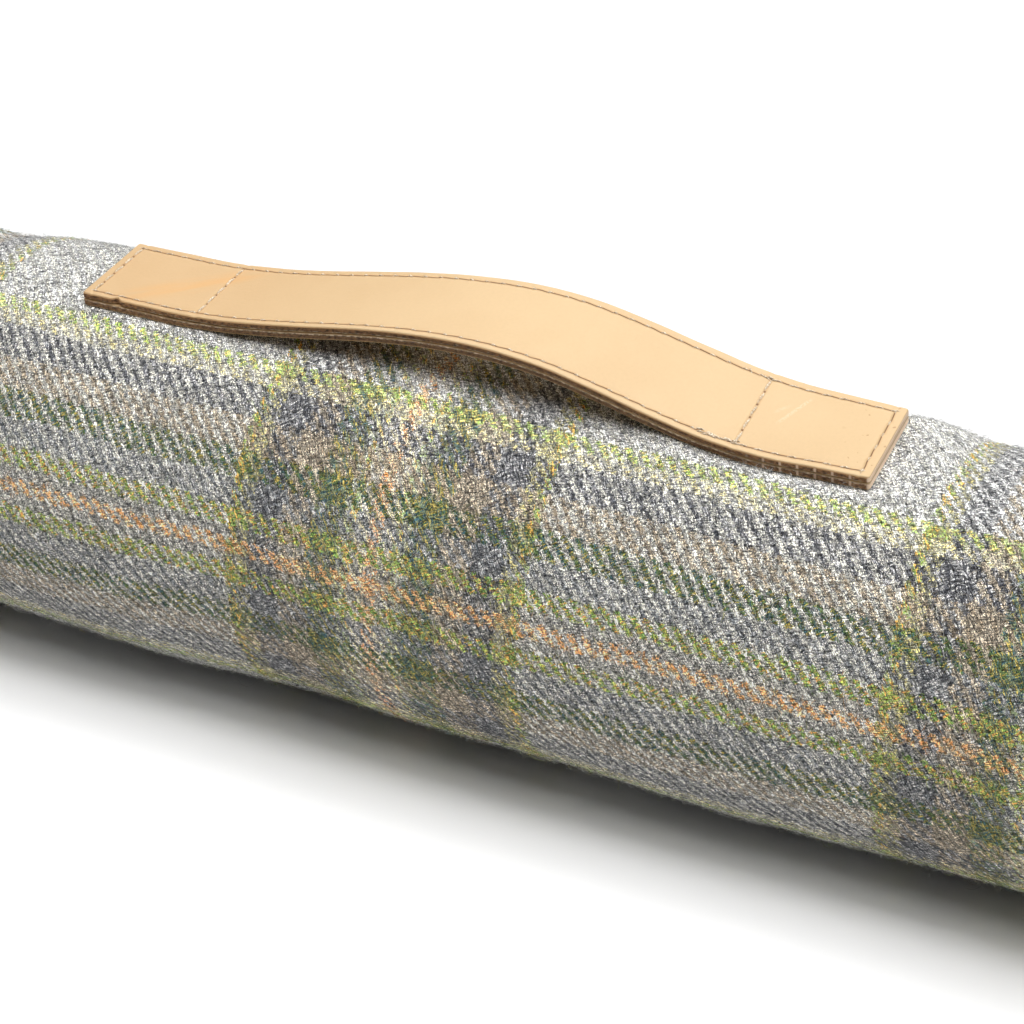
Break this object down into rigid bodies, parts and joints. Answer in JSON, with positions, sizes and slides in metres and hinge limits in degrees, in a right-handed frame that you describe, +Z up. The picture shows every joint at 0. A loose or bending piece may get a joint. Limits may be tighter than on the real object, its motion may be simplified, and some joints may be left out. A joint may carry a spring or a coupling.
{
  "type": "draught excluder",
  "caption": "Long stuffed roll of wool check cloth that lies along the foot of a door, with a flat leather carry handle sewn along its crown.",
  "frame": {"origin": "middle of the flat spot under the roll, on the surface that the roll rests on", "axes": "+X along the roll, +Z up, -Y towards the side that the handle leans to"},
  "size_m": [0.9, 0.1218, 0.1363],
  "materials": {
    "wool_check": "brushed wool twill in a grey, green and orange check",
    "leather": "smooth natural vegetable-tanned leather",
    "thread": "waxed beige sewing thread"
  },
  "bodies": {
    "root": {"stuffed_roll": "wool_check", "handle_under": "leather", "handle_upper": "leather"}
  },
  "joints": []
}
